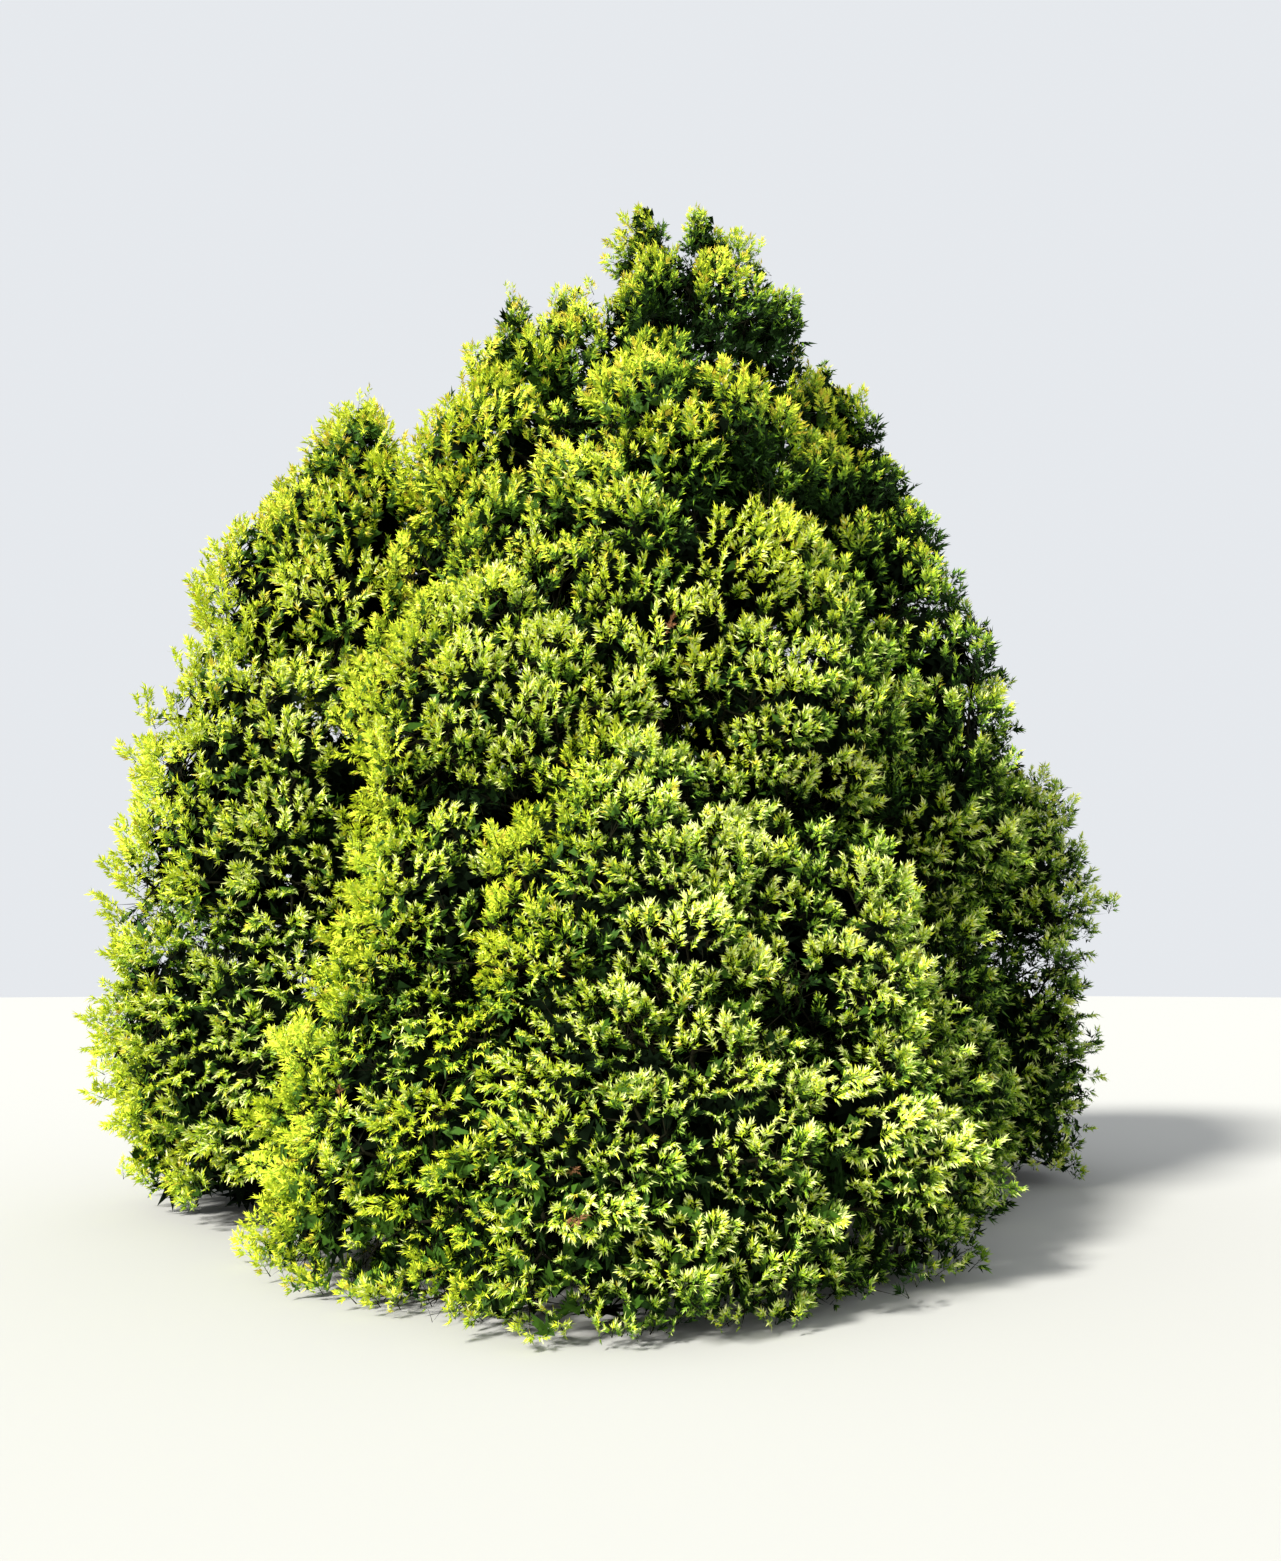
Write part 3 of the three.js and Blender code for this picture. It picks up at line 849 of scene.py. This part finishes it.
def fans_of(fronds, rng):
    """Place, direction, face normal, length, score and frond of every fan."""
    count = len(fronds.places)
    rows = []
    bright_side = unit(np.array(KEY_SIDE) + UP)
    for k in range(FANS):
        share = (k + FAN_ENDS[0]) / (FANS - FAN_ENDS[1])
        side = 0 if k == FANS - 1 else (1 if k % 2 else -1)
        turn = rng.normal(size=count) * FAN_ANGLE_NOISE_DEG
        angle = side * np.radians(np.interp(share, (0, 1), FAN_ANGLE_DEG) + turn)
        along = np.cos(angle)[:, None] * fronds.axis + np.sin(angle)[:, None] * fronds.across
        offset = abs(side) * np.interp(share, (0, 1), FAN_OFFSET)
        place = fronds.base + share * (fronds.tip - fronds.base) + offset * along
        along = unit(along + rng.normal(size=(count, 3)) * FAN_STRAY)
        facing = square_to(fronds.facing + rng.normal(size=(count, 3)) * FAN_NOISE, along)
        length = np.interp(share, (0, 1), FAN_LENGTH) * fronds.size * rng.uniform(*SIZE_VARIETY, count)
        outward = dots(along, fronds.normals)
        # Painted light and shade: each clump's side towards the key light gets a sunnier colour, its far side
        # a darker one
        from_centre = (place - fronds.centre) @ bright_side / fronds.clump
        shading = np.interp(fronds.high, (0, 1), CLUMP_SHADE)
        score = SCORE_ALONG * share + SCORE_OUTWARD * outward + shading * np.clip(from_centre, -1, 1)
        rows.append((place, along, facing, length, score, np.arange(count)))
        if k % math.ceil(FANS / FANS_IF_HIDDEN):
            rows[-1] = pick(rows[-1], fronds.sky > HIDDEN_SKY)
    return [np.concatenate(column) for column in zip(*rows)]


def colour_scores(fronds, score, owner, rng):
    """How sunny each fan's colour is, golden growth and painted light and shade together, from 0 for the
    inside of the crown to about 1 for the brightest tips.
    """
    normals = fronds.normals[owner]
    # Painted light and shade: the sky each place sees, the key light's reach, facing towards the key or away
    # from it, height, nearness to the ground, the spots and the seams lighten or darken the colour, on top of
    # the golden growth of sunny places
    value = score + SCORE_SKY * np.minimum(fronds.sky[owner], MOST_SKY) + SCORE_LIT * fronds.lit[owner]
    value += SCORE_LEFT * np.clip(-normals[:, 0], 0, 1) + SCORE_FRONT * np.clip(-normals[:, 1], -1, 1)
    value -= SCORE_FAR * np.clip(normals @ np.array(FAR_SIDE), 0, 1) + SCORE_HIGH * fronds.high[owner]
    value += np.interp(fronds.places[owner, 2], *GROUND_SHADE)
    value += soft_spots(fronds.places, PAINTED_LIGHT_SPOTS)[owner]
    value += SCORE_MOOD * fronds.mood[owner] + SCORE_RELIEF * fronds.relief[owner]
    return value + rng.normal(size=len(value)) * SCORE_NOISE - SCORE_TAKEN


def bands_of(value):
    """Each score's colour class, from 0 for the sunniest."""
    return np.sum(value[:, None] < np.array(CLASS_STEPS)[None], axis=1)


def sheen_and_amber(band, fronds, owner, rng):
    """Painted sheen: paler colours, for the surround's reflection, on many of the front's sunny teeth, and
    amber for some of the highest fans.
    """
    normals = fronds.normals[owner]
    height = fronds.places[owner, 2]
    # The painted sheen's share on each fan, for front and right faces low on the crown
    pale = np.clip(SHEEN_RIGHT * normals[:, 0] - normals[:, 1], 0, 1)
    pale = pale * np.interp(height, SHEEN_BELOW, (1, 0))
    pale = rng.random(band.shape) < pale[:, None] * SHEEN_TEETH
    amber = rng.random(len(band)) < AMBER_SHARE * np.interp(height, AMBER_ABOVE, AMBER_RISE)
    band = np.where(pale & (band < SHEEN_CLASSES), band + SHEEN, band)
    return np.where(amber[:, None] & (band < AMBER_CLASSES), AMBER, band)


def deal(dealt, corners, fits, band):
    """Adds those that fit to the pile of their colour class."""
    for step, pile in enumerate(dealt):
        pile.append(corners[fits & (band == step)].reshape(-1, 3, 3))


def deal_fans(fronds, box, crown, rng):
    """All fans' triangles by colour class."""
    kinds = fan_kinds(TOOTH_HALF_WIDTH, rng)
    place, along, facing, length, score, owner = fans_of(fronds, rng)
    value = colour_scores(fronds, score, owner, rng)
    band = bands_of(value)
    kind = rng.integers(len(kinds), size=len(place))
    mirror = rng.choice((-1.0, 1.0), len(place))
    drawn = rng.random(len(place))
    for step, kept, larger in DARK_FANS:
        length = np.where(band == step, length * larger, length)
        kind = np.where((band == step) & (drawn > kept), -1, kind)
    band = sheen_and_amber(np.clip(band[:, None] + np.array(TOOTH_STEPS), 0, DEAD - 1), fronds, owner, rng)
    band[fronds.dead[owner]] = DEAD
    dealt = [[] for _ in CLASSES]
    for number, shape in enumerate(kinds):
        mine = np.flatnonzero(kind == number)
        corners = placed(shape, place[mine], along[mine], facing[mine], length[mine], mirror[mine])
        fits = np.all((corners > box[0]) & (corners < box[1]), axis=(1, 2, 3))
        deal(dealt, corners, fits[:, None], band[mine])
    kinds = fan_kinds(UNDER_HALF_WIDTH, rng)
    for layer in UNDER_LAYERS:
        under_fans(fronds, kinds, layer, crown, dealt, rng)
    return [np.concatenate(group) for group in dealt]


def all_tips(test, corners, limits):
    """True for sprays whose tips all pass a test against the spray's limit. Every other tip is tried."""
    return np.array([
        all(test(tip, limit) for tip in map(Vector, tips))
        for tips, limit in zip(corners[:, ::2, 2], np.broadcast_to(limits, len(corners)))
    ], bool)


def near_masses(corners, crown, reach):
    """True for sprays that lie inside the CAD masses or stand out by no more than their reach."""
    return all_tips(lambda tip, limit: height_over(tip, crown) <= limit, corners, reach)


def above_ground(corners):
    """True for sprays that stand clear of the ground."""
    return corners.min(axis=(1, 2))[:, 2] > LOWEST_LEAF


class Cover:
    """The fronds as a cover, to tell whether a place lies hidden under it."""

    def __init__(self, fronds, crown):
        self.crown = crown
        self.tree = place_tree(fronds.places + INNER_PUSH * fronds.push[:, None] * fronds.normals)

    def hides(self, corners, margin, outside):
        """True for sprays the margin away from any frond, and inside a CAD mass or nearly so."""
        def deep(tip, limit):
            return self.tree.find(tip)[2] >= margin and height_over(tip, self.crown) <= limit

        return all_tips(deep, corners, outside)

    def roofs(self, corners):
        """True for sprays that the masses roof over."""
        return all_tips(self.roofed, corners, ROOF_REACH)

    def roofed(self, tip, reach):
        """True where a mass stands over a tip, both straight above it and up the slope outwards."""
        outward = Vector((tip.x - HOLLOW_CENTRE[0], tip.y - HOLLOW_CENTRE[1], 0.0)).normalized()
        ways = Vector(UP), (outward + ROOF_SLOPE * Vector(UP)).normalized()
        return not any(is_clear(self.crown, tip, way, reach) for way in ways)


def under_fans(fronds, kinds, layer, crown, dealt, rng):
    """Deals out a layer of broad dark fans under the fronds, no lighter than the deep class: partly inner
    foliage, partly painted shade.
    """
    depth, size, spacing, thin_only = layer
    height = fronds.places[:, 2]
    chosen = np.flatnonzero((height > THIN_ABOVE) | (height < THIN_BELOW) | (not thin_only))
    chosen = chosen[thinned(fronds.places[chosen], spacing)]
    count = len(chosen)
    normals = fronds.normals[chosen]
    along = unit(fronds.axis[chosen] + rng.normal(size=(count, 3)) * UNDER_STRAY)
    along = unit(along - UNDER_FLATTENING * dots(along, normals)[:, None] * normals)
    facing = unit(normals + rng.normal(size=(count, 3)) * UNDER_NOISE)
    facing = square_to(facing, along)
    below = depth + rng.uniform(*DEPTH_VARIETY, count) - UNDER_PUSH * fronds.push[chosen]
    length = size * rng.uniform(*UNDER_VARIETY, count)
    place = fronds.places[chosen] - below[:, None] * normals - UNDER_BACK * length[:, None] * along
    swell = soft_spots(fronds.places[chosen], SWELLS)
    reach = UNDER_REACH + swell + np.minimum(UNDER_FOLLOW * (fronds.push[chosen] - swell), 0)
    kind = rng.integers(len(kinds), size=count)
    value = colour_scores(fronds, UNDER_SCORE, chosen, rng)
    # Painted shade: no under fan is lighter than the deep class
    band = np.maximum(bands_of(value), UNDER_BAND)
    for number, shape in enumerate(kinds):
        mine = np.flatnonzero(kind == number)
        corners = placed(shape[:-1], place[mine], along[mine], facing[mine], length[mine])
        fits = above_ground(corners) & near_masses(corners, crown, reach[mine])
        deal(dealt, corners, fits, band[mine])


def broad_spray():
    """A flat star of broad fingers, of about unit width."""
    fingers = []
    for angle in np.radians(SPRAY_ANGLES_DEG):
        along = np.array([math.cos(angle), math.sin(angle), 0.0])
        half = FINGER_HALF_WIDTH * np.array([-along[1], along[0], 0.0])
        fingers.append([-half, half, FINGER_LENGTH * along])
    return np.array(fingers)


def fillers(places, normals, kind, cover, rng):
    """Broad sprays of a kind for the near-black painted shade, turned all ways."""
    size, margin, outside = kind
    count = len(places)
    along = unit(np.cross(normals, rng.normal(size=(count, 3))))
    facing = unit(np.cross(along, rng.normal(size=(count, 3))))
    length = size * rng.uniform(*FILLER_VARIETY, count)
    corners = placed(broad_spray(), places, along, facing, length)
    if outside is None:
        hidden = cover.hides(corners, margin, math.inf) & cover.roofs(corners)
    else:
        hidden = cover.hides(corners, margin, outside + sinking(places))
    return corners[above_ground(corners) & hidden].reshape(-1, 3, 3)


def curtain(fronds, cover, rng):
    """Near-black sprays of painted shade well behind the lowest fronds, down to just above the ground."""
    chosen = np.flatnonzero(fronds.places[:, 2] < CURTAIN_TOP)
    chosen = chosen[thinned(fronds.places[chosen], CURTAIN_SPACING)]
    chosen = np.repeat(chosen, CURTAIN_SPRAYS)
    outward = unit(fronds.normals[chosen] * LEVEL)
    places = fronds.places[chosen] - rng.uniform(*CURTAIN_DEPTH, (len(chosen), 1)) * outward
    places[:, 2] = rng.uniform(*CURTAIN_HEIGHT, len(chosen))
    return fillers(places, outward, CURTAIN, cover, rng)


def bough_sprays(boughs, cover, rng):
    """Sprays along the boughs in the hollow for the dead inner foliage, near-black as painted shade."""
    places = []
    for name in sorted(boughs):
        middles = along_line(boughs[name], rng.random(BOUGH_SPRAYS))
        places.append(middles + rng.normal(size=middles.shape) * BOUGH_SPRAY_REACH)
    places = np.concatenate(places)
    normals = unit(rng.normal(size=places.shape))
    return fillers(places, normals, BOUGH_SPRAY, cover, rng)


def inner_sprays(fronds, cover, rng):
    """Broad sprays of painted shade in layers inside the crown."""
    shape = broad_spray()
    chosen = thinned(fronds.places, INNER_SPACING)
    places, normals, push = fronds.places[chosen], fronds.normals[chosen], fronds.push[chosen]
    outside = sinking(places)
    count = len(places)
    out = []
    for depth, sprays, size, margin in INNER_LAYERS:
        for _ in range(sprays):
            along = unit(np.cross(normals, rng.normal(size=(count, 3))))
            facing = unit(normals + rng.normal(size=(count, 3)) * INNER_NOISE)
            facing = square_to(facing, along)
            aside = np.cross(along, normals) * rng.uniform(*INNER_ASIDE, count)[:, None]
            below = depth + rng.uniform(*DEPTH_VARIETY, count) - INNER_PUSH * push
            place = places - below[:, None] * normals + aside
            length = size * rng.uniform(*INNER_VARIETY, count)
            corners = placed(shape, place, along, facing, length)
            fits = above_ground(corners) & cover.hides(corners, margin, outside)
            out.append(corners[fits].reshape(-1, 3, 3))
    return np.concatenate(out)


# Bark

def along_line(line, share):
    """Places at shares of a line, from 0 at its start to 1 at its end."""
    steps = np.linspace(0, 1, len(line))
    return np.column_stack([np.interp(share, steps, line[:, axis]) for axis in range(3)])


def bark_height(angle, reach, offset):
    """The bark's relief at an angle round a limb and a reach along it."""
    round_limb = Vector((math.cos(angle), math.sin(angle), 0.0))
    warp = noise.noise(round_limb * WARP_SCALE[0] + Vector((0, 0, reach * WARP_SCALE[1])) + offset)
    strip = math.sin(STRIPS_ROUND * (angle + STRIP_WARP[0] * warp) + STRIP_WARP[1] * warp)
    rough = noise.noise(round_limb * ROUGH_SCALE[0] + Vector((0, 0, reach * ROUGH_SCALE[1])) + offset)
    return BARK_RELIEF * (STRIP_SHARE * strip - BARK_SUNK + ROUGH_SHARE * rough)


def ring_points(line, sides, solid, rng):
    """Rings of corners round a centre line, each at the CAD limb's surface with the bark's relief."""
    ways = unit(np.gradient(line, axis=0))
    side = unit(np.cross(ways, BARK_SIDE))
    other = np.cross(ways, side)
    offset = Vector(rng.uniform(*NOISE_REACH, 3))
    rings = []
    reach = 0.0
    for index, middle in enumerate(line):
        if index:
            reach += np.linalg.norm(middle - line[index - 1])
        ring = []
        for k in range(sides):
            angle = 2 * math.pi * k / sides
            way = math.cos(angle) * side[index] + math.sin(angle) * other[index]
            hit = solid.ray_cast(Vector(middle), Vector(way), MOST_RADIUS)
            radius = hit[3] if hit[0] is not None else LOST_RADIUS
            radius += bark_height(angle, reach, offset) * min(1.0, radius / FULL_RELIEF_RADIUS)
            ring.append(middle + radius * way)
        rings.append(ring)
    return np.array(rings)


def tube_faces(rings, sides):
    """Triangles of a tube of rings, closed at both ends by a fan."""
    faces = tube_walls(rings, sides)
    first, last = rings * sides, rings * sides + 1
    for k in range(sides):
        after = (k + 1) % sides
        faces.append((first, after, k))
        faces.append((last, (rings - 1) * sides + k, (rings - 1) * sides + after))
    return faces


def barked(name, node, line, grid, material, rng, flat_foot=False):
    """A limb with bark relief in place of its CAD node, as a grid of so many sides and rings."""
    sides, steps = grid
    share = np.linspace(0, 1, steps)
    if flat_foot:
        share = share ** FOOT_CROWDING
    smooth = along_line(line, share)
    rings = ring_points(smooth, sides, ray_tree(*welded(node)), rng)
    corners = np.concatenate([rings.reshape(-1, 3), smooth[:1], smooth[-1:]])
    if flat_foot:
        corners[:sides, 2] = 0.0
        corners[:, 2] = np.maximum(corners[:, 2], 0.0)
    made = mesh_object(name, corners, tube_faces(steps, sides), material)
    made.data.polygons.foreach_set("use_smooth", np.ones(len(made.data.polygons), bool))
    return made


def trunk_line_of(node):
    """The trunk's middle from the ground to its tip."""
    points, _ = welded(node)
    heights = np.unique(np.round(points[:, 2], 2))
    line = []
    for height in heights:
        ring = points[np.abs(points[:, 2] - height) < RING_HEIGHT]
        if len(ring) >= RING_CORNERS:
            middle = (ring.min(axis=0) + ring.max(axis=0)) / 2
            middle[2] = height
            line.append(middle)
    return np.array(line)


# Materials

def new_material(name):
    """A new material and its nodes."""
    material = bpy.data.materials.new(name)
    material.use_nodes = True
    return material, material.node_tree.nodes


def set_inputs(node, values):
    """Sets a node's inputs by name."""
    for name, value in values.items():
        node.inputs[name].default_value = value


def plain_material(name, colour, roughness, gloss):
    """A material of one colour."""
    material, nodes = new_material(name)
    values = {"Base Color": (*colour, 1), "Roughness": roughness, "Specular IOR Level": gloss}
    set_inputs(nodes["Principled BSDF"], values)
    return material


def bark_material():
    """Fibrous bark: grey-brown strips along the limb with redder cracks."""
    material, nodes = new_material("bark")
    shader = nodes["Principled BSDF"]
    coordinates = nodes.new("ShaderNodeTexCoord")
    stretch = nodes.new("ShaderNodeMapping")
    fibres = nodes.new("ShaderNodeTexNoise")
    ramp = nodes.new("ShaderNodeValToRGB")
    bump = nodes.new("ShaderNodeBump")
    set_inputs(shader, {"Roughness": 0.9, "Specular IOR Level": 0.2})
    set_inputs(stretch, {"Scale": (14, 14, 1.8)})
    set_inputs(fibres, {"Scale": 3.2, "Detail": 8, "Roughness": 0.65})
    set_inputs(bump, {"Strength": 0.7, "Distance": 0.01})
    for stop, (position, *colour) in zip(ramp.color_ramp.elements, BARK_RAMP):
        stop.position = position
        stop.color = (*colour, 1)
    for source, out, target, into in (
        (coordinates, "Object", stretch, "Vector"),
        (stretch, "Vector", fibres, "Vector"),
        (fibres, "Fac", ramp, "Fac"),
        (ramp, "Color", shader, "Base Color"),
        (fibres, "Fac", bump, "Height"),
        (bump, "Normal", shader, "Normal"),
    ):
        material.node_tree.links.new(source.outputs[out], target.inputs[into])
    return material


# Stage

def add_camera():
    """A camera at the photo's place and angle, with the same field of view."""
    data = bpy.data.cameras.new("camera")
    data.sensor_width = SENSOR_MM
    data.lens = SENSOR_MM * FOCAL_PX / IMAGE_HEIGHT_PX
    camera = new_object("camera", data)
    camera.location = CAMERA_PLACE
    camera.rotation_euler = (math.radians(90 + CAMERA_PITCH_DEG), 0, 0)
    bpy.context.scene.camera = camera


def add_floor():
    """A plain pale floor, level with the ground."""
    turns = np.linspace(0, 2 * math.pi, FLOOR_SIDES, endpoint=False)
    rim = np.column_stack([np.cos(turns), np.sin(turns), np.zeros(FLOOR_SIDES)]) * FLOOR_RADIUS
    corners = np.concatenate([np.zeros((1, 3)), rim])
    faces = [(0, 1 + k, 1 + (k + 1) % FLOOR_SIDES) for k in range(FLOOR_SIDES)]
    material = plain_material("floor", *FLOOR_LOOK)
    floor = mesh_object("floor", corners, np.array(faces), material)


def add_light():
    """Soft light from the upper left, and an even pale surround."""
    world = bpy.data.worlds.new("surround")
    bpy.context.scene.world = world
    world.use_nodes = True
    values = {"Color": (*SURROUND_COLOUR, 1), "Strength": SURROUND_STRENGTH}
    set_inputs(world.node_tree.nodes["Background"], values)
    sun = bpy.data.lights.new("key", "SUN")
    sun.energy = KEY_STRENGTH
    sun.angle = math.radians(KEY_ANGLE_DEG)
    sun.color = KEY_COLOUR
    key = new_object("key", sun)
    key.rotation_euler = Vector(KEY_SIDE).to_track_quat("Z", "Y").to_euler()
    bpy.context.scene.view_settings.view_transform = "Standard"


def show(piece, nodes=()):
    """Hangs a piece on the tree's body, in place of the nodes it stands for."""
    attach(piece, BODY)
    if nodes:
        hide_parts(*nodes)


def add_bark(nodes, rng):
    """Bark in place of the trunk and each bough. Gives their middle lines."""
    bark = bark_material()
    trunk_line = trunk_line_of(nodes["trunk"])
    trunk = barked("trunk_bark", nodes["trunk"], trunk_line, TRUNK_GRID, bark, rng, flat_foot=True)
    show(trunk, ["trunk"])
    boughs = {}
    for name in sorted(name for name in nodes if name.endswith("_bough")):
        line = centre_line(welded(nodes[name])[0])
        near, far = (np.linalg.norm(end[:2] - trunk_line[0][:2]) for end in (line[0], line[-1]))
        if near > far:
            line = line[::-1]
        boughs[name] = line
        show(barked(name + "_bark", nodes[name], line, BOUGH_GRID, bark, rng), [name])
    return trunk_line, boughs


def add_branches(fronds, owners, mass_names, trunk_line, boughs, rng):
    """Branches from the limbs to the fronds of each mass, with the fronds' stems."""
    wood = Wood(rng)
    for number, name in enumerate(mass_names):
        bases = fronds.base[owners == number]
        if len(bases):
            wood.grow(start_of(bases.mean(axis=0), name, trunk_line, boughs), bases, LIMB_RADIUS)
    points, triangles = merged([wood.tubes(), stems_of(fronds)])
    points[:, 2] = np.maximum(points[:, 2], LOWEST_LEAF)
    material = plain_material("branches", *BRANCH_SHADE_LOOK)
    show(mesh_object("branches", points, triangles, material))


def add_fans(fronds, cad_box, crown, mass_names, rng):
    """The fans, joined by colour into pieces that stay under the most triangles."""
    low, high = (np.array(corner) for corner in cad_box)
    slack = PAST_SHARE * (high - low) + PAST_BOX
    box = (low - slack, high + slack)
    box[0][2] = LOWEST_LEAF
    for name, gloss, corners in zip(CLASSES, GLOSS, deal_fans(fronds, box, crown, rng)):
        material = plain_material(name, FOLIAGE[name], LEAF_ROUGHNESS, gloss)
        pieces = math.ceil(len(corners) / MOST_TRIANGLES)
        for part in range(pieces):
            label = name if pieces == 1 else f"{name}_{part + 1}"
            show(loose_object(label, corners[part::pieces], material), mass_names)


def add_inside(fronds, crown, seams, lining, boughs, rng):
    """The near-black sprays of painted shade inside the crown, as one piece."""
    cover = Cover(fronds, crown)
    corners = np.concatenate([
        inner_sprays(fronds, cover, rng),
        fillers(*seams, SEAM_FILLER, cover, rng),
        fillers(*lining, LINING, cover, rng),
        curtain(fronds, cover, rng),
        bough_sprays(boughs, cover, rng),
    ])
    material = plain_material("foliage_inside", *INNER_SHADE_LOOK)
    show(loose_object("foliage_inside", corners, material))


def build():
    """The whole tree, its stage and its light."""
    rng = np.random.default_rng(SEED)
    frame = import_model()
    cad_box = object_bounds()
    nodes = frame["nodes"]
    mass_names = sorted(name for name in nodes if name != "trunk" and not name.endswith("_bough"))
    add_camera()
    add_floor()
    add_light()

    masses = {name: welded(nodes[name]) for name in mass_names}
    crown = ray_tree(*merged(masses.values()))
    (places, normals, owners), seams, lining = frond_places(masses, crown, rng)
    sky, lit = openness(places, normals, crown, rng)
    fronds = Fronds(places, normals, sky, lit, rng)
    carried = still_carried(places, normals, crown)
    fronds.keep(carried)

    trunk_line, boughs = add_bark(nodes, rng)
    add_branches(fronds, owners[carried], mass_names, trunk_line, boughs, rng)
    add_fans(fronds, cad_box, crown, mass_names, rng)
    add_inside(fronds, crown, seams, lining, boughs, rng)


build()
